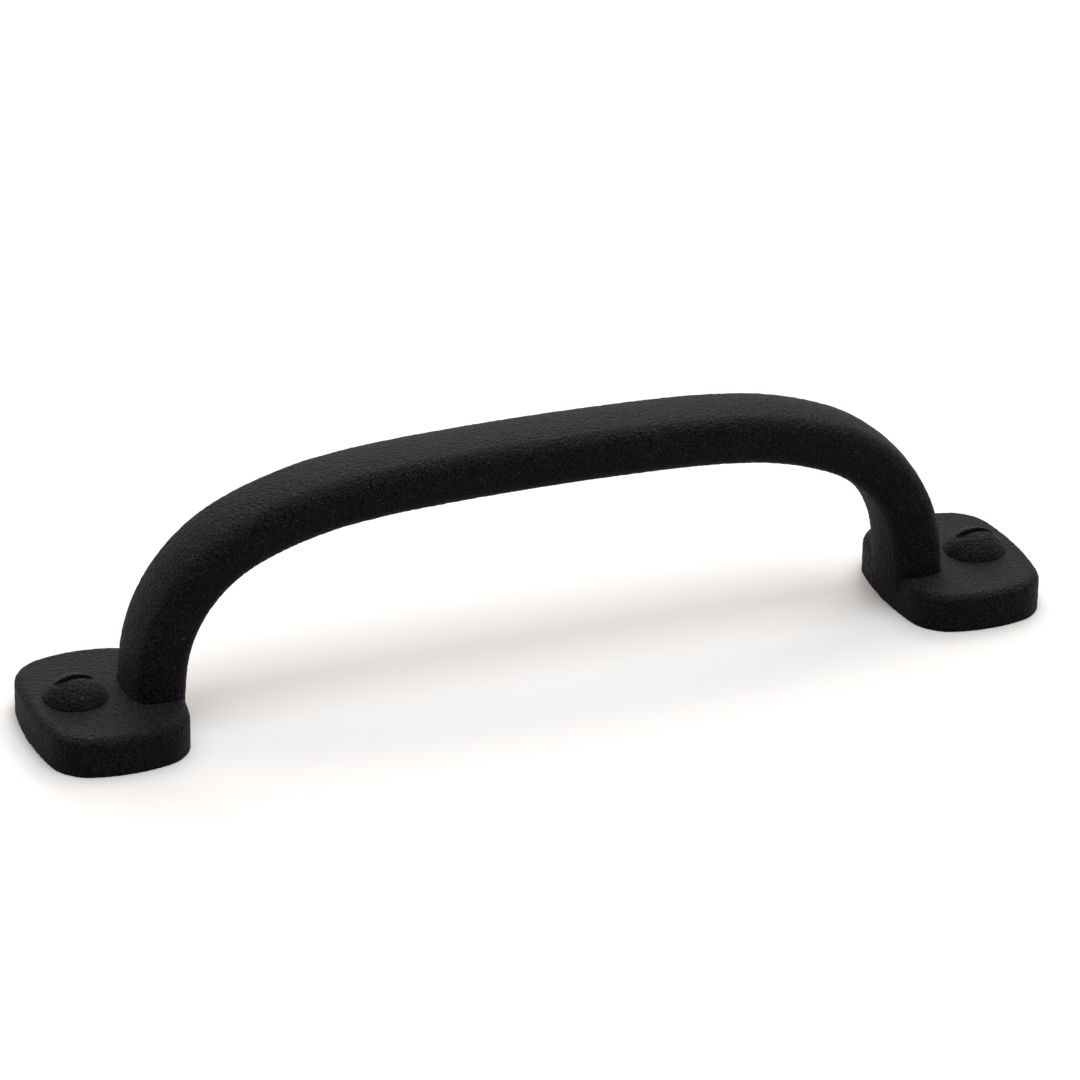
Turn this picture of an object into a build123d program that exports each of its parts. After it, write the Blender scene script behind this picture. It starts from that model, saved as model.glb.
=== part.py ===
from build123d import *
from math import cos, radians, sin
import os

# Bow pull handle: an arched nylon bar on two cushion-shaped feet, each with a slotted round-head
# screw. Millimetres. +X runs along the handle, +Z points away from the sash or door, and Z = 0 is
# the face that both feet stand on, with the origin half-way between the feet.

# Spacing
LEG_SPACING = 128.0         # between the leg axes, and between the rear fixing threads
SCREW_SPACING = 152.4       # between the face screws

# Feet
FOOT_THICKNESS = 6.3
FOOT_OFFSET = 8.0           # centre of a foot, outward of its leg's axis
FOOT_HALF_X = 12.0
FOOT_HALF_Y = 15.6
FOOT_BULGE_X = 1.7          # how far the end sides bow out
FOOT_BULGE_Y = 2.3          # how far the long sides bow out
FOOT_CORNER_R = 7.2
FOOT_TOP_ROUND = 1.4        # rounding of the upper edge

# Bar section, thickness by width
BAR_HALF_THICKNESS = 4.55
BAR_HALF_WIDTH = 6.5
BAR_BULGE_THICKNESS = 0.85
BAR_BULGE_WIDTH = 0.55
BAR_CORNER_R = 2.7

# Bar centreline: a leaning straight leg, then a shoulder, a haunch, a flank and a nearly flat crown
LEG_LEAN = 4.5              # degrees from upright
LEG_STRAIGHT = 3.5
SHOULDER_R = 24.5
SHOULDER_END = 23.3         # slope of the bar where the shoulder ends, in degrees
HAUNCH_R = 57.4
HAUNCH_END = 7.0            # slope of the bar where the haunch ends, in degrees
FLANK_R = 140.0
FLANK_END = 2.2             # slope of the bar where the flank ends, in degrees

# Leg seat: each leg's end is let into its foot
LET_IN = 2.5
LET_IN_GAP = 0.05

# Flanged fixing bush, M4
BUSH_R = 2.8
BUSH_LENGTH = 12.0
BUSH_FLANGE_R = 3.6
BUSH_FLANGE_THICKNESS = 1.2
BUSH_RECESS = 0.3           # flange's face above the foot's underside
BUSH_THREAD_R = 1.65        # M4 tapping size
BUSH_THREAD_DEPTH = 11.0
BUSH_GROOVE_DEPTH = 0.3
BUSH_GROOVE_WIDTH = 0.8
BUSH_GROOVES = [7.6, 9.3, 11.0]  # heights of the pull-out grooves
PRESSED_GAP = 0.02          # left between pressed pieces
FLANGE_GAP = 0.1

# Face screw, M5 slotted round head
HEAD_R = 5.15
HEAD_HEIGHT = 3.5
SLOT_WIDTH = 1.3
SLOT_DEPTH = 1.2
SHANK_R = 2.45
SHANK_LENGTH = 4.9
SHANK_CHAMFER = 0.5

# Lock washer and screw insert, M5
WASHER_R = 4.6
WASHER_BORE_R = 2.55
WASHER_THICKNESS = 1.2
WASHER_SPLIT = 0.8
WASHER_SPLIT_SLANT = 30     # degrees from upright
WASHER_RECESS_R = 4.75
INSERT_R = 3.5
INSERT_BORE_R = 2.5
INSERT_LENGTH = 4.0
INSERT_GROOVE_DEPTH = 0.3
INSERT_GROOVE_WIDTH = 1.0

LEG_X = LEG_SPACING / 2
SCREW_X = SCREW_SPACING / 2
SIDES = {"left": -1, "right": 1}


def cushion(half_x, half_y, bulge_x, bulge_y, corner_r):
    """Rounded rectangle on the XY plane, with sides that bow outward."""
    corner_x = half_x - bulge_x
    corner_y = half_y - bulge_y
    corners = [(corner_x, -corner_y), (corner_x, corner_y), (-corner_x, corner_y), (-corner_x, -corner_y)]
    middles = [(half_x, 0), (0, half_y), (-half_x, 0), (0, -half_y)]
    ends = corners[1:] + corners[:1]
    sides = [ThreePointArc(start, middle, end) for start, middle, end in zip(corners, middles, ends)]
    face = make_face(sides)
    return fillet(face.vertices(), corner_r)


def bar_section(gap=0.0, lean=0.0):
    """Bar's section, with its thickness along local X, cut square across or at the lean of a leg."""
    half_thickness = BAR_HALF_THICKNESS / cos(radians(lean)) + gap
    half_width = BAR_HALF_WIDTH + gap
    return cushion(half_thickness, half_width, BAR_BULGE_THICKNESS, BAR_BULGE_WIDTH, BAR_CORNER_R + gap)


def section_plane(x, z, slope):
    """Plane across the right half of the bar, where its slope is the given angle in degrees."""
    outward = (sin(radians(slope)), 0, cos(radians(slope)))
    along = (-cos(radians(slope)), 0, sin(radians(slope)))
    return Plane(origin=(x, 0, z), x_dir=outward, z_dir=along)


def grip_bar():
    """Arched bar with its two legs, whose ends are let into the feet and bored for the bushes."""
    slope = 90 - LEG_LEAN
    plane = section_plane(LEG_X, FOOT_THICKNESS, slope)
    half = plane.offset(-LET_IN) * extrude(bar_section(), LET_IN + LEG_STRAIGHT)
    half -= Pos(LEG_X, 0, FOOT_THICKNESS) * Box(
        4 * BAR_HALF_THICKNESS, 4 * BAR_HALF_WIDTH, 2 * LET_IN, align=(Align.CENTER, Align.CENTER, Align.MAX)
    )
    half += extrude(half.faces().sort_by(Axis.Z)[0], LET_IN, dir=(0, 0, -1))
    end = Vector(LEG_X, 0, FOOT_THICKNESS) + plane.z_dir * LEG_STRAIGHT
    arcs = [(SHOULDER_R, SHOULDER_END), (HAUNCH_R, HAUNCH_END), (FLANK_R, FLANK_END), (None, 0)]
    for radius, next_slope in arcs:
        if radius is None:  # the crown's centre is above the origin
            radius = end.X / sin(radians(slope))
        plane = section_plane(end.X, end.Z, slope)
        centre = end - plane.x_dir * radius
        half += revolve(plane * bar_section(), Axis(centre, (0, -1, 0)), slope - next_slope)
        slope = next_slope
        end = centre + section_plane(0, 0, slope).x_dir * radius
    half -= Pos(LEG_X, 0, 0) * extrude(Circle(BUSH_R + PRESSED_GAP), BUSH_RECESS + BUSH_LENGTH + PRESSED_GAP)
    return half + mirror(half, Plane.YZ)


def foot(side):
    """Cushion-shaped foot, recessed for the leg, the fixing bush, the washer and the insert."""
    outline = cushion(FOOT_HALF_X, FOOT_HALF_Y, FOOT_BULGE_X, FOOT_BULGE_Y, FOOT_CORNER_R)
    body = extrude(outline, FOOT_THICKNESS)
    body = fillet(body.faces().sort_by(Axis.Z)[-1].edges(), FOOT_TOP_ROUND)
    body = Pos(side * (LEG_X + FOOT_OFFSET), 0, 0) * body
    washer_floor = FOOT_THICKNESS - WASHER_THICKNESS
    at_leg = [
        Pos(0, 0, FOOT_THICKNESS - LET_IN) * extrude(bar_section(LET_IN_GAP, LEG_LEAN), LET_IN),
        extrude(Circle(BUSH_R + PRESSED_GAP), FOOT_THICKNESS),
        extrude(Circle(BUSH_FLANGE_R + FLANGE_GAP), BUSH_RECESS + BUSH_FLANGE_THICKNESS),
    ]
    at_screw = [
        Pos(0, 0, washer_floor) * extrude(Circle(WASHER_RECESS_R), WASHER_THICKNESS),
        Pos(0, 0, washer_floor - INSERT_LENGTH) * extrude(Circle(INSERT_R + PRESSED_GAP), INSERT_LENGTH),
    ]
    for x, cuts in [(LEG_X, at_leg), (SCREW_X, at_screw)]:
        for cut in cuts:
            body -= Pos(side * x, 0, 0) * cut
    return body


def grooves(outer_r, depth, width, heights):
    """Rings that cut grooves round an upright cylinder."""
    ring = extrude(Circle(outer_r + 1) - Circle(outer_r - depth), width)
    return [Pos(0, 0, height) * ring for height in heights]


def fixing_bush(side):
    """Flanged brass bush with a blind M4 thread that opens downward."""
    flange = extrude(Circle(BUSH_FLANGE_R), BUSH_FLANGE_THICKNESS)
    body = extrude(Circle(BUSH_R), BUSH_LENGTH)
    bush = Pos(0, 0, BUSH_RECESS) * (flange + body - extrude(Circle(BUSH_THREAD_R), BUSH_THREAD_DEPTH))
    for ring in grooves(BUSH_R, BUSH_GROOVE_DEPTH, BUSH_GROOVE_WIDTH, BUSH_GROOVES):
        bush -= ring
    return Pos(side * LEG_X, 0, 0) * bush


def screw_insert(side):
    """Brass insert that the face screw turns in, open at both ends."""
    insert = extrude(Circle(INSERT_R) - Circle(INSERT_BORE_R), INSERT_LENGTH)
    middle = (INSERT_LENGTH - INSERT_GROOVE_WIDTH) / 2
    for ring in grooves(INSERT_R, INSERT_GROOVE_DEPTH, INSERT_GROOVE_WIDTH, [middle]):
        insert -= ring
    return Pos(side * SCREW_X, 0, FOOT_THICKNESS - WASHER_THICKNESS - INSERT_LENGTH) * insert


def lock_washer(side):
    """Split spring washer, flat when the screw is tight."""
    washer = extrude(Circle(WASHER_R) - Circle(WASHER_BORE_R), WASHER_THICKNESS)
    split = Box(WASHER_SPLIT, 2 * (WASHER_R - WASHER_BORE_R), 3 * WASHER_THICKNESS)
    middle_r = (WASHER_R + WASHER_BORE_R) / 2
    split = Pos(0, middle_r, WASHER_THICKNESS / 2) * Rot(0, WASHER_SPLIT_SLANT, 0) * split
    return Pos(side * SCREW_X, 0, FOOT_THICKNESS - WASHER_THICKNESS) * (washer - split)


def face_screw(side):
    """Slotted round-head screw, its slot along the handle."""
    dome_r = (HEAD_R**2 + HEAD_HEIGHT**2) / (2 * HEAD_HEIGHT)
    dome = Pos(0, 0, HEAD_HEIGHT - dome_r) * Sphere(dome_r)
    head = dome & extrude(Circle(HEAD_R), HEAD_HEIGHT)
    slot = Pos(0, 0, HEAD_HEIGHT - SLOT_DEPTH) * Box(
        4 * HEAD_R, SLOT_WIDTH, SLOT_DEPTH, align=(Align.CENTER, Align.CENTER, Align.MIN)
    )
    shank = Pos(0, 0, -SHANK_LENGTH) * extrude(Circle(SHANK_R), SHANK_LENGTH)
    tip = shank.edges().sort_by(Axis.Z)[0]
    shank = chamfer(tip, SHANK_CHAMFER)
    return Pos(side * SCREW_X, 0, FOOT_THICKNESS) * (head - slot + shank)


os.makedirs("parts", exist_ok=True)
export_step(grip_bar(), "parts/grip_bar.step")
for name, side in SIDES.items():
    export_step(foot(side), f"parts/{name}_foot.step")
    export_step(face_screw(side), f"parts/{name}_face_screw.step")
    export_step(lock_washer(side), f"parts/{name}_lock_washer.step")
    export_step(screw_insert(side), f"parts/{name}_screw_insert.step")
    export_step(fixing_bush(side), f"parts/{name}_fixing_bush.step")
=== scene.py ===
import math
import bpy
import numpy as np
from mathutils import Matrix, Vector


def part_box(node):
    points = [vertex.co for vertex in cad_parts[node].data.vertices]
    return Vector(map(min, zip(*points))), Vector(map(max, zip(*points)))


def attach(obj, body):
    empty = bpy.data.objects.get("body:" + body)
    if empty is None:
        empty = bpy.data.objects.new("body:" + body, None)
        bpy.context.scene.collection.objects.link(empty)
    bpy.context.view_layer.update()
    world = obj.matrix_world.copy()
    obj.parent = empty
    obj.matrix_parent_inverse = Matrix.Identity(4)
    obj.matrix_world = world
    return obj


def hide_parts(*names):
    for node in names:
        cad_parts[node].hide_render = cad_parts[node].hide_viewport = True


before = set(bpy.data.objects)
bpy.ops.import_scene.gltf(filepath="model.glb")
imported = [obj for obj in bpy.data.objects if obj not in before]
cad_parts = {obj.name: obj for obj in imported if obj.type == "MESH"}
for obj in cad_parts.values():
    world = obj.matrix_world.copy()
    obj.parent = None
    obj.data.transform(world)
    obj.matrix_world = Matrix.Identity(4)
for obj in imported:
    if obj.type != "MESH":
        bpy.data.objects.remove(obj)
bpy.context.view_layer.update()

# Lengths are millimetres up to the point where a mesh is made, and MM turns them into metres.
MM = 0.001
SIDES = {-1: "left", 1: "right"}


def cad_box(node):
    """A CAD node's lowest and highest corners, in millimetres."""
    low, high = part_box(node)
    return np.array(low) / MM, np.array(high) / MM


def cad_centre(node):
    """The middle of a CAD node's box, in millimetres."""
    low, high = cad_box(node)
    return (low + high) / 2


# Sizes read from the frame
BAR_LOW, BAR_HIGH = cad_box("grip_bar")
FOOT_LOW, FOOT_HIGH = cad_box("right_foot")
FOOT_TOP = FOOT_HIGH[2]
FOOT_CENTRE_X = cad_centre("right_foot")[0]
LEG_X = cad_centre("right_fixing_bush")[0]
SCREW_X = cad_centre("right_face_screw")[0]
BUSH_LOW, BUSH_HIGH = cad_box("right_fixing_bush")
INSERT_LOW, INSERT_HIGH = cad_box("right_screw_insert")
WASHER_LOW, WASHER_HIGH = cad_box("right_lock_washer")
SCREW_LOW, SCREW_HIGH = cad_box("right_face_screw")

# Bar, with the same driving sizes as the CAD model
BAR_HALF_THICKNESS = 4.55
BAR_HALF_WIDTH = (BAR_HIGH[1] - BAR_LOW[1]) / 2
BAR_BULGES = (0.85, 0.55)
BAR_CORNER_R = 2.7
LEG_LEAN = 4.5
LEG_STRAIGHT = 3.5
SHOULDER_R = 24.5
SHOULDER_END = 23.3
HAUNCH_R = 57.4
HAUNCH_END = 7.0
FLANK_R = 140.0
FLANK_END = 2.2
BAR_STEP = 0.3
BAR_SECTION_POINTS = 124
BORE_R = 2.82
BORE_CLEARANCE = 0.02

# Feet
FOOT_HALF_X = (FOOT_HIGH[0] - FOOT_LOW[0]) / 2
FOOT_HALF_Y = (FOOT_HIGH[1] - FOOT_LOW[1]) / 2
FOOT_BULGES = (1.7, 2.3)
FOOT_CORNER_R = 7.2
FOOT_TOP_ROUND = 1.4
LET_IN_GAP = 0.02
FLANGE_RECESS_R = 3.7
WASHER_RECESS_R = 4.75
INSERT_HOLE_R = 3.52
FOOT_OUTLINE_POINTS = 200
HOLE_POINTS = 64
LEG_SEAT_POINTS = 96

# Screws and threads
HEAD_R = (SCREW_HIGH[0] - SCREW_LOW[0]) / 2
HEAD_HEIGHT = SCREW_HIGH[2] - FOOT_TOP
SLOT_WIDTH = 1.3
SLOT_DEPTH = 1.2
SCREW_PITCH = 0.8
SCREW_MAJOR_R = 2.45
SCREW_MINOR_R = 2.0
NUT_MAJOR_R = 2.55
NUT_MINOR_R = 2.1
BUSH_PITCH = 0.7
BUSH_MAJOR_R = 2.05
BUSH_MINOR_R = 1.65
TIP_CHAMFER = 0.5
NECK_LENGTH = 0.4

# Brass and steel fixings
INSERT_CHAMFER = 0.25
INSERT_GROOVE_DEPTH = 0.3
INSERT_GROOVE_HALF = 0.5
INSERT_KNURLS = 24
THREAD_LEAD_IN = 0.2
FLANGE_THICKNESS = 1.2
BUSH_BODY_R = 2.8
BUSH_CHAMFER = 0.2
BUSH_THREAD_DEPTH = 11.0
BUSH_KNURLS = 30
BUSH_KNURL_TOP = 6.6
BARB_HEIGHTS = (7.6, 9.3, 11.0)
BARB_GAP = 0.8
BARB_DEPTH = 0.3
WASHER_INNER_R = 2.55
WASHER_GAP = 0.8
WASHER_SPLIT_SLANT = 30

# Printed-nylon surface: layer height, mesh sizes, and the depth and levelness that each relief has
LAYER = 0.1
VOXEL = 0.17
SCREW_VOXEL = 0.1
BAR_GRAIN = (0.048, 0.960)
FOOT_GRAIN = (0.040, 0.985)
HEAD_GRAIN = (0.036, 0.90)
GRAIN_WIDTHS = (0.9, 0.42)
STREAK_HEIGHT = 0.28
RELIEF_FADE = 0.6
BAR_SEED = 11
FOOT_SEED = 31
SCREW_SEED = 51

# Whole numbers that scatter a noise cell's place and seed
CELL_FACTORS = (374761393, 668265263, 2147483647)
SEED_FACTOR = 1274126177
STIR = 1103515245

# Nylon colours and grain widths
NYLON_PITS = (0.0002, 0.0002, 0.0003)
NYLON_GRAINS = (0.0103, 0.0085, 0.0105)
NYLON_PATCHES = (0.0020, 0.0015, 0.0019)
NYLON_SPECKS = (0.040, 0.035, 0.039)
FINE_WIDTH = 0.32
COARSE_WIDTH = 0.50
PATCH_WIDTH = 7.0
SPECK_WIDTH = 0.30

# Floor
FLOOR_HALF = 3000.0
FLOOR_DROP = 0.05
FLOOR_COLOURS = ((0.351, 0.336, 0.329), (0.361, 0.347, 0.339))


# ---------------------------------------------------------------- outlines and noise


def resampled(points, count):
    """The closed outline through the points, as count points evenly spaced along it."""
    closed = np.vstack([points, points[:1]])
    lengths = np.r_[0, np.cumsum(np.hypot(*np.diff(closed, axis=0).T))]
    at = np.arange(count) * lengths[-1] / count
    return np.column_stack([np.interp(at, lengths, closed[:, k]) for k in (0, 1)])


def cushion(half_x, half_y, bulges, corner_r, count):
    """Rounded rectangle with sides that bow outward, anticlockwise from its +X side."""
    corner_x, corner_y = half_x - bulges[0], half_y - bulges[1]
    end_r = (corner_y**2 + bulges[0] ** 2) / (2 * bulges[0])
    side_r = (corner_x**2 + bulges[1] ** 2) / (2 * bulges[1])
    end_c = np.array([half_x - end_r, 0.0])
    side_c = np.array([0.0, half_y - side_r])
    # the corner's centre is corner_r inside both side arcs
    far_end, far_side = end_r - corner_r, side_r - corner_r
    gap = side_c - end_c
    apart = np.hypot(*gap)
    along = (far_end**2 - far_side**2 + apart**2) / (2 * apart)
    off = math.sqrt(max(far_end**2 - along**2, 0))
    middle = end_c + gap * along / apart
    normal = np.array([gap[1], -gap[0]]) / apart
    corner_c = max(middle + off * normal, middle - off * normal, key=sum)
    turn_1 = math.atan2(*(corner_c - end_c)[::-1])
    turn_2 = math.atan2(*(corner_c - side_c)[::-1])
    arcs = [
        (end_c, end_r, 0, turn_1),
        (corner_c, corner_r, turn_1, turn_2),
        (side_c, side_r, turn_2, math.pi / 2),
    ]
    quarter = []
    for centre, radius, start, stop in arcs:
        angles = np.linspace(start, stop, 60)[:-1]
        quarter.append(centre + radius * np.column_stack([np.cos(angles), np.sin(angles)]))
    q = np.vstack(quarter + [[[0.0, half_y]]])
    upper = np.vstack([q, (q * [-1, 1])[::-1][1:]])
    return resampled(np.vstack([upper, (upper * [1, -1])[::-1][1:-1]]), count)


def rectangle(half_x, half_y):
    """A rectangle's corners, anticlockwise."""
    return np.array([[-half_x, -half_y], [half_x, -half_y], [half_x, half_y], [-half_x, half_y]])


def circle(radius, count):
    """Points on a circle, anticlockwise from its +X side."""
    angles = np.arange(count) * 2 * math.pi / count
    return radius * np.column_stack([np.cos(angles), np.sin(angles)])


def lattice(cells, seed):
    """A fixed pseudo-random value from -1 to 1 for each whole-numbered cell."""
    mixed = np.full(cells.shape[:-1], seed * SEED_FACTOR)
    for axis, factor in enumerate(CELL_FACTORS):
        mixed = mixed + cells[..., axis] * factor
    mixed = (mixed ^ (mixed >> 13)) * STIR
    mixed = (mixed ^ (mixed >> 16)) & 0xFFFFFF
    return mixed / 0x7FFFFF - 1.0


def noise(points, size, seed):
    """Smooth noise from -1 to 1, with bumps about as wide as size."""
    scaled = points / size
    base = np.floor(scaled).astype(np.int64)
    part = scaled - base
    part = part * part * (3 - 2 * part)
    total = np.zeros(len(points))
    for corner in np.ndindex(2, 2, 2):
        weight = np.prod(np.where(corner, part, 1 - part), axis=1)
        total += weight * lattice(base + np.array(corner), seed)
    return total


def terraced(heights, flatness):
    """Heights drawn towards the nearest edge of a printed layer, most where the surface is flat."""
    layers = heights / LAYER
    part = layers - np.floor(layers)
    step = np.clip((part - 0.5) * 3.2 + 0.5, 0, 1)
    return heights + flatness * LAYER * (step - part)


def grained(points, normals, grain, seed, box):
    """Printed-nylon relief: terraces where the surface is nearly level, and coarse powder grain.

    grain is the relief's depth, and how level a surface is, from 0 to 1, where the terraces start.
    The relief fades out towards the bottom of the box and stays inside the box.
    """
    depth, flat_from = grain
    level = np.abs(normals[:, 2])
    flatness = np.clip((level - flat_from) / (1 - flat_from) * 3, 0, 1)
    fade = np.clip((points[:, 2] - box[0][2]) / RELIEF_FADE, 0, 1)
    out = points.copy()
    out[:, 2] = terraced(points[:, 2], 0.5 * flatness * fade)
    wide, narrow = GRAIN_WIDTHS
    relief = 0.3 * noise(points, wide, seed) + 1.1 * noise(points, narrow, seed + 1) - 0.5
    streaks = noise(points * [0.02, 0.02, 1.0], STREAK_HEIGHT, seed + 2)
    relief += 0.25 * streaks * (1 - flatness)
    out += normals * (depth * relief * fade)[:, None]
    return np.clip(out, *box)


# ---------------------------------------------------------------- mesh helpers


def new_piece(name, points, faces):
    """A mesh object from millimetre points."""
    mesh = bpy.data.meshes.new(name)
    mesh.from_pydata((np.asarray(points) * MM).tolist(), [], faces)
    mesh.validate()
    mesh.update()
    piece = bpy.data.objects.new(name, mesh)
    bpy.context.scene.collection.objects.link(piece)
    mesh.shade_smooth()
    return piece


def ring_faces(start_a, start_b, count):
    """Quads between two rings of count points that start at those indices."""
    step = np.arange(count)
    after = (step + 1) % count
    return np.column_stack([start_a + step, start_a + after, start_b + after, start_b + step]).tolist()


def stacked(name, rings, capped=True):
    """A skin through rings of points, each as long as the others, with its ends closed if capped."""
    count = len(rings[0])
    faces = []
    for k in range(len(rings) - 1):
        faces += ring_faces(k * count, (k + 1) * count, count)
    if capped:
        faces.append(list(range(count))[::-1])
        faces.append([(len(rings) - 1) * count + i for i in range(count)])
    return new_piece(name, np.vstack(rings), faces)


def ring_at(outline, centre_x, height):
    """A flat outline as points at a height."""
    return np.column_stack([outline[:, 0] + centre_x, outline[:, 1], np.full(len(outline), height)])


def points_and_normals(piece):
    """A mesh's points in millimetres and its vertex normals."""
    mesh = piece.data
    points = np.empty(len(mesh.vertices) * 3)
    normals = np.empty(len(mesh.vertices) * 3)
    mesh.vertices.foreach_get("co", points)
    mesh.vertex_normals.foreach_get("vector", normals)
    return points.reshape(-1, 3) / MM, normals.reshape(-1, 3)


def set_points(piece, points):
    """Puts a mesh's points back, from millimetres."""
    piece.data.vertices.foreach_set("co", (points * MM).ravel())
    piece.data.update()


def applied(piece):
    """Turns a piece's modifiers into its mesh."""
    graph = bpy.context.evaluated_depsgraph_get()
    mesh = bpy.data.meshes.new_from_object(piece.evaluated_get(graph))
    old = piece.data
    piece.modifiers.clear()
    piece.data = mesh
    bpy.data.meshes.remove(old)
    return piece


def cut(piece, cutters):
    """Takes closed cutters out of a piece."""
    for cutter in cutters:
        boolean = piece.modifiers.new("cut", "BOOLEAN")
        boolean.operation = "DIFFERENCE"
        boolean.solver = "EXACT"
        boolean.object = cutter
    bpy.context.view_layer.update()
    applied(piece)
    for cutter in cutters:
        mesh = cutter.data
        bpy.data.objects.remove(cutter)
        bpy.data.meshes.remove(mesh)
    return piece


def remeshed(piece, voxel):
    """Even quads of about the voxel's size, with edges as soft as printed ones."""
    remesh = piece.modifiers.new("remesh", "REMESH")
    remesh.mode = "VOXEL"
    remesh.voxel_size = voxel * MM
    smooth = piece.modifiers.new("smooth", "SMOOTH")
    smooth.factor = 0.5
    smooth.iterations = 1
    applied(piece)
    piece.data.shade_smooth()
    return piece


def prism(name, outline, centre_x, low, high):
    """An upright closed cutter."""
    return stacked(name, [ring_at(outline, centre_x, low), ring_at(outline, centre_x, high)])


# ---------------------------------------------------------------- the grip bar


def arch_half():
    """Centreline stations from the right leg's end to the crown's middle: x, z and the outward direction."""
    seat = FOOT_TOP - BAR_LOW[2]
    slope = math.radians(90 - LEG_LEAN)
    stations = [(LEG_X, BAR_LOW[2] + t, 1.0, 0.0) for t in np.arange(0, seat - BAR_STEP / 2, BAR_STEP)]
    outward = np.array([math.sin(slope), math.cos(slope)])
    upward = np.array([-math.cos(slope), math.sin(slope)])
    point = np.array([LEG_X, FOOT_TOP])
    for t in np.arange(0, LEG_STRAIGHT - BAR_STEP / 2, BAR_STEP):
        stations.append((*(point + t * upward), *outward))
    point = point + LEG_STRAIGHT * upward
    arcs = [(SHOULDER_R, SHOULDER_END), (HAUNCH_R, HAUNCH_END), (FLANK_R, FLANK_END), (None, 0)]
    for radius, stop in arcs:
        if radius is None:
            radius = point[0] / math.sin(slope)
        centre = point - radius * np.array([math.sin(slope), math.cos(slope)])
        count = round(radius * (slope - math.radians(stop)) / BAR_STEP)
        for angle in np.linspace(slope, math.radians(stop), count, endpoint=False):
            outward = np.array([math.sin(angle), math.cos(angle)])
            stations.append((*(centre + radius * outward), *outward))
        slope = math.radians(stop)
        point = centre + radius * np.array([math.sin(slope), math.cos(slope)])
    stations.append((point[0], point[1], 0.0, 1.0))
    return np.array(stations)


def grip_bar():
    """The arched bar, its let-in leg ends and their bores."""
    right = arch_half()
    left = right[::-1][1:] * [-1, 1, -1, 1]
    stations = np.vstack([right, left])
    count = BAR_SECTION_POINTS
    section = cushion(BAR_HALF_THICKNESS, BAR_HALF_WIDTH, BAR_BULGES, BAR_CORNER_R, count)
    rings = []
    for x, z, out_x, out_z in stations:
        thick = section[:, 0]
        rings.append(np.column_stack([x + thick * out_x, section[:, 1], z + thick * out_z]))
    body = stacked("grip_bar_detailed", rings, capped=False)
    points, normals = points_and_normals(body)
    points = grained(points, normals, BAR_GRAIN, BAR_SEED, (BAR_LOW, BAR_HIGH))
    faces = [list(p.vertices) for p in body.data.polygons]
    bore_top = BUSH_HIGH[2] + BORE_CLEARANCE
    bore = circle(BORE_R, count)
    for side, first in ((1, 0), (-1, (len(rings) - 1) * count)):
        # the section's thickness runs outward, so the left end goes round the other way
        ends = [ring_at(bore * [side, 1], side * LEG_X, z) for z in (BAR_LOW[2], bore_top)]
        start = len(points)
        points = np.vstack([points] + ends)
        loops = ring_faces(start, first, count) + ring_faces(start + count, start, count)
        loops.append([start + count + i for i in range(count)][::-1])
        faces += loops if side == 1 else [loop[::-1] for loop in loops]
    bpy.data.objects.remove(body)
    return new_piece("grip_bar_detailed", points, faces)


# ---------------------------------------------------------------- the feet


def foot(side):
    """A cushion-shaped foot with its recesses."""

    def ring(inset, height):
        halves = (FOOT_HALF_X - inset, FOOT_HALF_Y - inset)
        outline = cushion(*halves, FOOT_BULGES, FOOT_CORNER_R - inset, FOOT_OUTLINE_POINTS)
        return ring_at(outline, side * FOOT_CENTRE_X, height)

    rings = [ring(0, 0), ring(0, FOOT_TOP - FOOT_TOP_ROUND)]
    for angle in np.linspace(0, math.pi / 2, 9)[1:]:
        drop = FOOT_TOP_ROUND * (1 - math.sin(angle))
        rings.append(ring(FOOT_TOP_ROUND * (1 - math.cos(angle)), FOOT_TOP - drop))
    node = SIDES[side] + "_foot"
    body = stacked(node + "_detailed", rings)
    leg = cushion(
        BAR_HALF_THICKNESS / math.cos(math.radians(LEG_LEAN)) + LET_IN_GAP,
        BAR_HALF_WIDTH + LET_IN_GAP,
        BAR_BULGES,
        BAR_CORNER_R + LET_IN_GAP,
        LEG_SEAT_POINTS,
    )
    over = FOOT_TOP + 1
    flange_top = BUSH_LOW[2] + FLANGE_THICKNESS
    holes = [
        ("bush_hole", BORE_R, LEG_X, -1, over),
        ("flange_recess", FLANGE_RECESS_R, LEG_X, -1, flange_top),
        ("washer_recess", WASHER_RECESS_R, SCREW_X, WASHER_LOW[2], over),
        ("insert_hole", INSERT_HOLE_R, SCREW_X, INSERT_LOW[2], over),
    ]
    cutters = [prism("leg_seat", leg, side * LEG_X, BAR_LOW[2], over)]
    for name, radius, x, low, high in holes:
        cutters.append(prism(name, circle(radius, HOLE_POINTS), side * x, low, high))
    cut(body, cutters)
    remeshed(body, VOXEL)
    points, normals = points_and_normals(body)
    carved = grained(points, normals, FOOT_GRAIN, FOOT_SEED + side, cad_box(node))
    # the face that the foot stands on stays flat
    underside = (points[:, 2] < 0.3) & (normals[:, 2] < -0.8)
    carved[underside, 2] = FOOT_LOW[2]
    set_points(body, carved)
    return body


# ---------------------------------------------------------------- turned pieces


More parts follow.
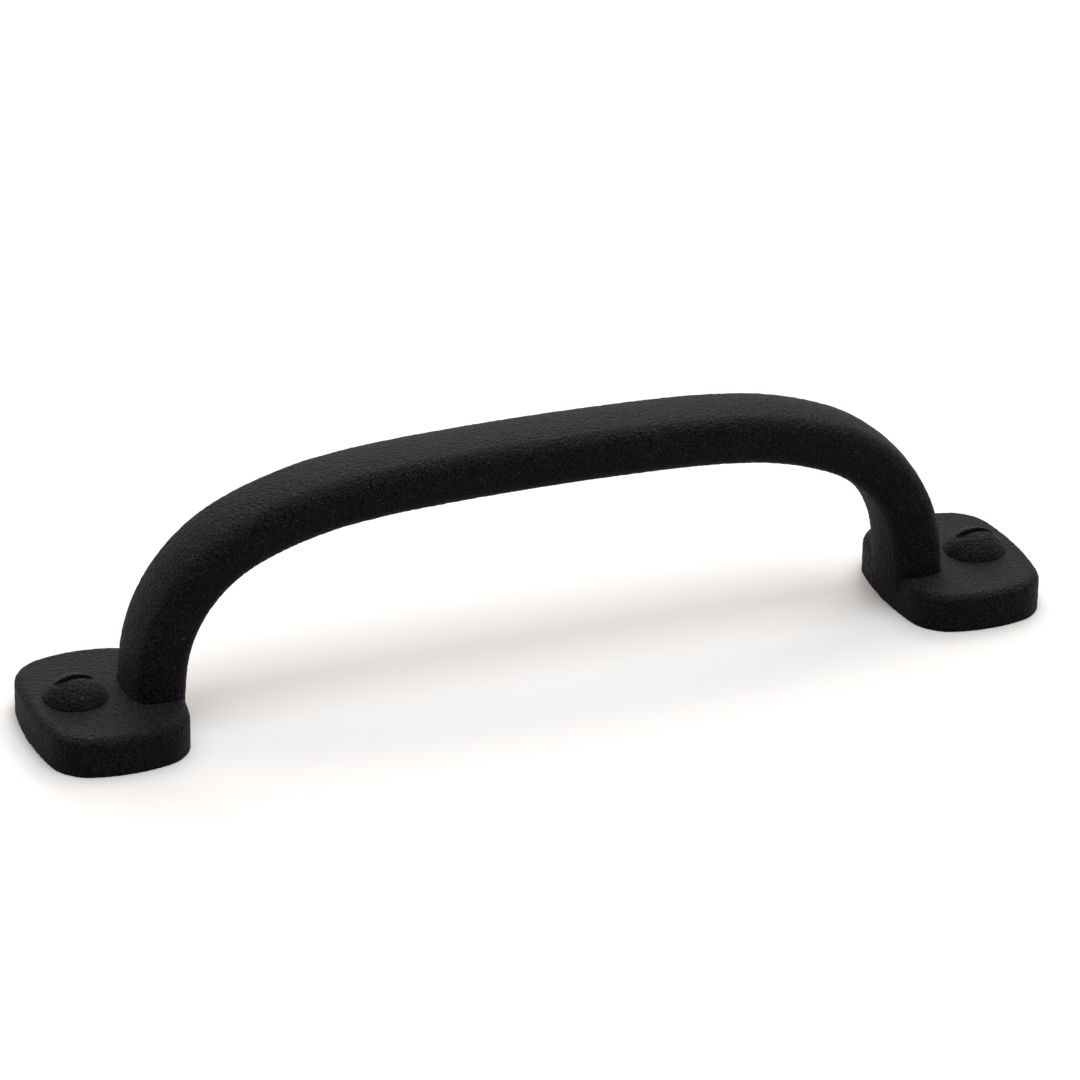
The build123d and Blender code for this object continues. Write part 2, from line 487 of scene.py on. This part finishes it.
def lathe(name, profile, centre_x, step, count, relief):
    """Turns a closed profile of (radius, height, zone) corners about an upright axis.

    A profile that starts and ends on the axis makes a solid, and any other makes a ring.
    relief gives each point's radius from its zone, radius, height and angle.
    """
    solid = profile[0][0] == 0
    corners = list(profile) if solid else list(profile) + [profile[0]]
    samples = []
    for (r_a, z_a, zone), (r_b, z_b, _) in zip(corners[:-1], corners[1:]):
        pieces = max(1, round(math.hypot(r_b - r_a, z_b - z_a) / step))
        for t in np.arange(pieces) / pieces:
            samples.append((r_a + t * (r_b - r_a), z_a + t * (z_b - z_a), zone))
    angles = np.arange(count) * 2 * math.pi / count
    if solid:
        samples = samples[1:]
    rings = []
    for r, z, zone in samples:
        radius = relief(zone, r, z, angles)
        outline = np.column_stack([radius * np.cos(angles), radius * np.sin(angles)])
        rings.append(ring_at(outline, centre_x, z))
    points = np.vstack(rings)
    faces = []
    for k in range(len(rings) - 1):
        faces += ring_faces((k + 1) * count, k * count, count)
    if solid:
        points = np.vstack([points, [[centre_x, 0, profile[0][1]], [centre_x, 0, profile[-1][1]]]])
        low, high = len(points) - 2, len(points) - 1
        last = (len(rings) - 1) * count
        for i in range(count):
            j = (i + 1) % count
            faces.append([low, i, j])
            faces.append([high, last + j, last + i])
    else:
        faces += ring_faces(0, (len(rings) - 1) * count, count)
    return new_piece(name, points, faces)


def thread(radius_in, radius_out, pitch, height, angles):
    """Radius of a right-hand V thread at a height."""
    turn = (height / pitch - angles / (2 * math.pi)) % 1.0
    ridge = np.clip(1.35 * (1 - 2 * np.abs(turn - 0.5)) - 0.15, 0, 1)
    return radius_in + (radius_out - radius_in) * ridge


def outward(piece):
    """Makes a closed mesh's faces point outward."""
    points, _ = points_and_normals(piece)
    volume = 0.0
    for face in piece.data.polygons:
        corners = points[list(face.vertices)]
        for k in range(1, len(corners) - 1):
            volume += np.dot(corners[0], np.cross(corners[k], corners[k + 1]))
    if volume < 0:
        piece.data.flip_normals()
    return piece


def face_screw(side):
    """Slotted round-head screw with a threaded shank."""
    dome_r = (HEAD_R**2 + HEAD_HEIGHT**2) / (2 * HEAD_HEIGHT)
    dome_z = SCREW_HIGH[2] - dome_r
    edge = math.asin(HEAD_R / dome_r)
    tip = SCREW_LOW[2]
    profile = [
        (0, tip, "tip"),
        (SCREW_MAJOR_R - TIP_CHAMFER, tip, "tip"),
        (SCREW_MAJOR_R, tip + TIP_CHAMFER, "thread"),
        (SCREW_MAJOR_R, FOOT_TOP - NECK_LENGTH, "neck"),
        (SCREW_MAJOR_R, FOOT_TOP, "head"),
    ]
    for angle in np.linspace(edge, 0, 40):
        profile.append((dome_r * math.sin(angle), dome_z + dome_r * math.cos(angle), "head"))
    profile[-1] = (0, SCREW_HIGH[2], "head")

    def relief(zone, r, z, angles):
        helix = thread(SCREW_MINOR_R, SCREW_MAJOR_R, SCREW_PITCH, z - FOOT_TOP, angles)
        if zone == "thread":
            return np.minimum(helix, r)
        if zone == "tip":
            return np.minimum(helix, r) if r > SCREW_MINOR_R else np.full(len(angles), r)
        return np.full(len(angles), r)

    node = SIDES[side] + "_face_screw"
    body = outward(lathe(node + "_detailed", profile, side * SCREW_X, 0.1, 128, relief))
    slot = rectangle(2 * HEAD_R, SLOT_WIDTH / 2)
    cut(body, [prism("slot", slot, side * SCREW_X, SCREW_HIGH[2] - SLOT_DEPTH, SCREW_HIGH[2] + 1)])
    remeshed(body, SCREW_VOXEL)
    points, normals = points_and_normals(body)
    carved = grained(points, normals, HEAD_GRAIN, SCREW_SEED + side, cad_box(node))
    on_head = (points[:, 2] > FOOT_TOP + 0.05)[:, None]
    set_points(body, np.where(on_head, carved, points))
    return body


def screw_insert(side):
    """Knurled brass insert with an M5 thread through it."""
    low, high = INSERT_LOW[2], INSERT_HIGH[2]
    outer = (INSERT_HIGH[0] - INSERT_LOW[0]) / 2
    middle = (low + high) / 2
    groove = (middle - INSERT_GROOVE_HALF, middle + INSERT_GROOVE_HALF)
    groove_r = outer - INSERT_GROOVE_DEPTH
    mouth_r = NUT_MAJOR_R - THREAD_LEAD_IN
    profile = [
        (NUT_MAJOR_R, low, "face"),
        (outer - INSERT_CHAMFER, low, "face"),
        (outer, low + INSERT_CHAMFER, "knurl"),
        (outer, groove[0], "face"),
        (groove_r, groove[0], "face"),
        (groove_r, groove[1], "face"),
        (outer, groove[1], "knurl"),
        (outer, high - INSERT_CHAMFER, "face"),
        (outer - INSERT_CHAMFER, high, "face"),
        (NUT_MAJOR_R, high, "face"),
        (mouth_r, high - THREAD_LEAD_IN, "thread"),
        (mouth_r, low + THREAD_LEAD_IN, "face"),
    ]

    def relief(zone, r, z, angles):
        if zone == "knurl":
            turn = angles * INSERT_KNURLS / (2 * math.pi)
            cross = np.abs(((turn + z * 0.9) % 1) - 0.5)
            other = np.abs(((turn - z * 0.9) % 1) - 0.5)
            return r - 0.3 * np.maximum(0, 0.5 - 2 * np.minimum(cross, other))
        if zone == "thread":
            return thread(NUT_MINOR_R, NUT_MAJOR_R, SCREW_PITCH, z - FOOT_TOP, angles)
        return np.full(len(angles), r)

    name = SIDES[side] + "_screw_insert_detailed"
    return outward(lathe(name, profile, side * SCREW_X, 0.1, 168, relief))


def fixing_bush(side):
    """Flanged brass bush with barbs outside and a blind M4 thread inside."""
    low, high = BUSH_LOW[2], BUSH_HIGH[2]
    flange = (BUSH_HIGH[0] - BUSH_LOW[0]) / 2
    body_r = BUSH_BODY_R
    barb_r = body_r - BARB_DEPTH
    thread_top = low + BUSH_THREAD_DEPTH
    chamfer = BUSH_CHAMFER
    flange_top = low + FLANGE_THICKNESS
    profile = [
        (BUSH_MAJOR_R + 0.15, low, "face"),
        (flange - chamfer, low, "face"),
        (flange, low + chamfer, "face"),
        (flange, flange_top, "face"),
        (body_r, flange_top, "face"),
        (body_r, BUSH_KNURL_TOP, "knurl"),
    ]
    for height in BARB_HEIGHTS:
        over = height + BARB_GAP
        profile += [(body_r, height, "face"), (barb_r, height, "face")]
        profile += [(barb_r, over, "face"), (body_r, over, "knurl")]
    profile += [
        (body_r, high - chamfer, "face"),
        (body_r - chamfer, high, "face"),
        (0, high, "face"),
    ]
    inner = [
        (0, thread_top, "face"),
        (BUSH_MINOR_R, thread_top, "thread"),
        (BUSH_MINOR_R, low + 2 * THREAD_LEAD_IN, "face"),
    ]

    def relief(zone, r, z, angles):
        if zone == "knurl":
            return r - 0.12 * np.abs(((angles * BUSH_KNURLS / (2 * math.pi)) % 1) - 0.5)
        if zone == "thread":
            return thread(BUSH_MINOR_R, BUSH_MAJOR_R, BUSH_PITCH, z - low, angles)
        return np.full(len(angles), r)

    name = SIDES[side] + "_fixing_bush_detailed"
    return outward(lathe(name, inner + profile, side * LEG_X, 0.12, 120, relief))


def lock_washer(side):
    """Split spring washer with slanted ends, flat as when the screw is tight."""
    low, high = WASHER_LOW[2], WASHER_HIGH[2]
    outer = (WASHER_HIGH[0] - WASHER_LOW[0]) / 2
    inner = WASHER_INNER_R
    middle, half_w, half_h = (outer + inner) / 2, (outer - inner) / 2, (high - low) / 2
    section = cushion(half_w, half_h, (0.03, 0.02), 0.18, 28)
    gap = WASHER_GAP / middle
    slant = section[:, 1] * math.tan(math.radians(WASHER_SPLIT_SLANT)) / middle
    radius = middle + section[:, 0]
    heights = (low + high) / 2 + section[:, 1]
    rings = []
    for angle in np.linspace(math.pi / 2 + gap / 2, math.pi * 5 / 2 - gap / 2, 150):
        turned = angle + slant
        x = side * SCREW_X + radius * np.cos(turned)
        rings.append(np.column_stack([x, radius * np.sin(turned), heights]))
    name = SIDES[side] + "_lock_washer_detailed"
    return outward(stacked(name, rings))


# ---------------------------------------------------------------- materials


class Nodes:
    """Adds and links a material's nodes in one line each."""

    def __init__(self, name):
        self.material = bpy.data.materials.new(name)
        self.material.use_nodes = True
        self.tree = self.material.node_tree
        self.shader = self.tree.nodes["Principled BSDF"]
        self.where = self.tree.nodes.new("ShaderNodeTexCoord").outputs["Object"]

    def add(self, kind, **values):
        node = self.tree.nodes.new("ShaderNode" + kind)
        for key, value in values.items():
            if hasattr(node, key):
                setattr(node, key, value)
            else:
                node.inputs[key.replace("_", " ")].default_value = value
        return node

    def link(self, source, target):
        self.tree.links.new(source, target)

    def noise(self, width, detail=2.0, rough=0.5):
        """Noise with bumps about width millimetres across."""
        node = self.add("TexNoise", Scale=1 / (width * MM), Detail=detail, Roughness=rough)
        self.link(self.where, node.inputs["Vector"])
        return node.outputs["Fac"]

    def stretch(self, value, low, high, to_low=0.0, to_high=1.0):
        """The value from low to high, spread over another range."""
        node = self.add("MapRange")
        for key, number in (("From Min", low), ("From Max", high), ("To Min", to_low), ("To Max", to_high)):
            node.inputs[key].default_value = number
        self.link(value, node.inputs["Value"])
        return node.outputs["Result"]

    def mix(self, factor, first, second):
        node = self.add("Mix", data_type="RGBA")
        self.link(factor, node.inputs["Factor"])
        for key, colour in (("A", first), ("B", second)):
            socket = [s for s in node.inputs if s.name == key and s.type == "RGBA"][0]
            if isinstance(colour, tuple):
                socket.default_value = (*colour, 1)
            else:
                self.link(colour, socket)
        return [s for s in node.outputs if s.type == "RGBA"][0]

    def bump(self, height, distance, under=None):
        """Bump of the height, up to distance millimetres deep."""
        node = self.add("Bump", Strength=1.0, Distance=distance * MM)
        self.link(height, node.inputs["Height"])
        if under:
            self.link(under, node.inputs["Normal"])
        return node.outputs["Normal"]


def powder_black(name, speck_share):
    """Matte black sintered nylon: fine grain, sparse pale specks and faint print layers."""
    n = Nodes(name)
    fine = n.noise(FINE_WIDTH, 1.5, 0.6)
    coarse = n.noise(COARSE_WIDTH, 1.0, 0.5)
    patches = n.noise(PATCH_WIDTH, 2.0)
    base = n.mix(n.stretch(fine, 0.40, 0.66), NYLON_PITS, NYLON_GRAINS)
    base = n.mix(n.stretch(patches, 0.35, 0.65, 0.0, 0.3), base, NYLON_PATCHES)
    specks = n.noise(SPECK_WIDTH, 0.0)
    share = n.stretch(specks, 1 - speck_share, 1 - speck_share + 0.05, 0, 0.8)
    base = n.mix(share, base, NYLON_SPECKS)
    n.link(base, n.shader.inputs["Base Color"])
    n.link(n.stretch(fine, 0.3, 0.7, 0.46, 0.72), n.shader.inputs["Roughness"])
    n.shader.inputs["Sheen Weight"].default_value = 0.023
    n.shader.inputs["Sheen Roughness"].default_value = 0.45
    n.shader.inputs["Sheen Tint"].default_value = (1.0, 0.92, 1.0, 1)
    n.shader.inputs["Specular IOR Level"].default_value = 0.0315
    n.shader.inputs["Specular Tint"].default_value = (1.0, 0.90, 1.0, 1)
    layer = n.add("Math", operation="FRACT")
    scaled = n.add("Math", operation="MULTIPLY")
    scaled.inputs[1].default_value = 1 / (LAYER * MM)
    split = n.add("SeparateXYZ")
    n.link(n.where, split.inputs["Vector"])
    n.link(split.outputs["Z"], scaled.inputs[0])
    n.link(scaled.outputs[0], layer.inputs[0])
    normal = n.bump(layer.outputs[0], 0.006)
    normal = n.bump(coarse, 0.30, normal)
    normal = n.bump(fine, 0.24, normal)
    n.link(normal, n.shader.inputs["Normal"])
    return n.material


def turned_metal(name, dark, light, roughness):
    """Turned metal with fine tool marks and slight tarnish."""
    n = Nodes(name)
    n.shader.inputs["Metallic"].default_value = 1.0
    base = n.mix(n.stretch(n.noise(1.2, 4.0, 0.6), 0.35, 0.65), dark, light)
    n.link(base, n.shader.inputs["Base Color"])
    n.link(n.stretch(n.noise(0.5, 3.0), 0.3, 0.7, *roughness), n.shader.inputs["Roughness"])
    n.link(n.bump(n.noise(0.08, 2.0), 0.006), n.shader.inputs["Normal"])
    return n.material


# ---------------------------------------------------------------- the pieces


def place(piece, node, body, material):
    """Puts a detailed piece in place of its CAD node."""
    piece.data.materials.clear()
    piece.data.materials.append(material)
    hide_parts(node)
    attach(piece, body)


nylon = powder_black("black_nylon", 0.205)
screw_black = powder_black("black_screw", 0.22)
brass = turned_metal("turned_brass", (0.52, 0.36, 0.14), (0.72, 0.54, 0.25), (0.22, 0.42))
steel = turned_metal("zinc_steel", (0.40, 0.40, 0.41), (0.58, 0.58, 0.60), (0.25, 0.45))

place(grip_bar(), "grip_bar", "handle", nylon)
for side, word in SIDES.items():
    place(foot(side), f"{word}_foot", "handle", nylon)
    place(face_screw(side), f"{word}_face_screw", f"{word}_screw", screw_black)
    place(lock_washer(side), f"{word}_lock_washer", f"{word}_washer", steel)
    place(screw_insert(side), f"{word}_screw_insert", "handle", brass)
    place(fixing_bush(side), f"{word}_fixing_bush", "handle", brass)


# ---------------------------------------------------------------- floor, light and camera


def floor():
    """A plain pale floor."""
    corners = ring_at(rectangle(FLOOR_HALF, FLOOR_HALF), 0, 0)
    sheet = new_piece("floor", corners, [[0, 1, 2, 3]])
    n = Nodes("pale_floor")
    n.link(n.mix(n.noise(40.0, 2.0), *FLOOR_COLOURS), n.shader.inputs["Base Color"])
    n.shader.inputs["Roughness"].default_value = 0.9
    n.shader.inputs["Specular IOR Level"].default_value = 0.1
    sheet.data.materials.append(n.material)
    sheet.location.z = -FLOOR_DROP * MM


def softbox(name, bearing, height, distance, size, watts, tint):
    """A soft light that faces the handle, from a bearing clockwise from +Y and a height in degrees."""
    turn, rise = math.radians(bearing), math.radians(height)
    away = Vector((math.sin(turn) * math.cos(rise), math.cos(turn) * math.cos(rise), math.sin(rise)))
    light = bpy.data.lights.new(name, "AREA")
    light.shape = "RECTANGLE"
    light.size, light.size_y = size
    light.energy = watts
    light.color = tint
    lamp = bpy.data.objects.new(name, light)
    lamp.location = away * distance
    lamp.rotation_euler = (Vector((0, 0, 0.015)) - lamp.location).to_track_quat("-Z", "Y").to_euler()
    bpy.context.scene.collection.objects.link(lamp)


def camera(aim, distance, azimuth, elevation, roll, lens):
    """A camera that looks at aim from an azimuth and elevation in degrees."""
    az, el, turn = (math.radians(a) for a in (azimuth, elevation, roll))
    back = Vector((math.sin(az) * math.cos(el), -math.cos(az) * math.cos(el), math.sin(el)))
    right = (-back).cross(Vector((0, 0, 1))).normalized()
    up = right.cross(-back)
    right, up = right * math.cos(turn) + up * math.sin(turn), up * math.cos(turn) - right * math.sin(turn)
    lens_data = bpy.data.cameras.new("camera")
    lens_data.lens = lens
    lens_data.sensor_width = 36
    lens_data.clip_start = 0.01
    eye = bpy.data.objects.new("camera", lens_data)
    spot = Vector(aim) + back * distance
    eye.matrix_world = Matrix.Translation(spot) @ Matrix((right, up, back)).transposed().to_4x4()
    bpy.context.scene.collection.objects.link(eye)
    bpy.context.scene.camera = eye


floor()
# name, bearing and height in degrees, distance and size in metres, watts, tint
for name, bearing, height, distance, size, watts, tint in (
    ("overhead", 180, 80, 1.0, (0.42, 0.42), 6.8, (0.84, 1.0, 1.10)),
    ("canopy", 0, 90, 1.0, (1.6, 1.6), 31.4, (1.015, 0.985, 0.96)),
    ("behind", 15, 30, 1.2, (0.7, 0.6), 9.5, (1.0, 1.0, 1.0)),
    ("right_behind", 50, 45, 1.2, (0.6, 0.5), 6.8, (1.0, 1.0, 1.0)),
):
    softbox(name, bearing, height, distance, size, watts, tint)
world = bpy.data.worlds.new("studio")
world.use_nodes = True
world.node_tree.nodes["Background"].inputs["Color"].default_value = (1.0, 0.93, 0.89, 1)
world.node_tree.nodes["Background"].inputs["Strength"].default_value = 0.28
bpy.context.scene.world = world
bpy.context.scene.view_settings.view_transform = "Standard"
camera(
    aim=(0.00316, 0.00745, 0.01647),
    distance=0.8991,
    azimuth=-22.044,
    elevation=26.166,
    roll=1.07,
    lens=189.3,
)
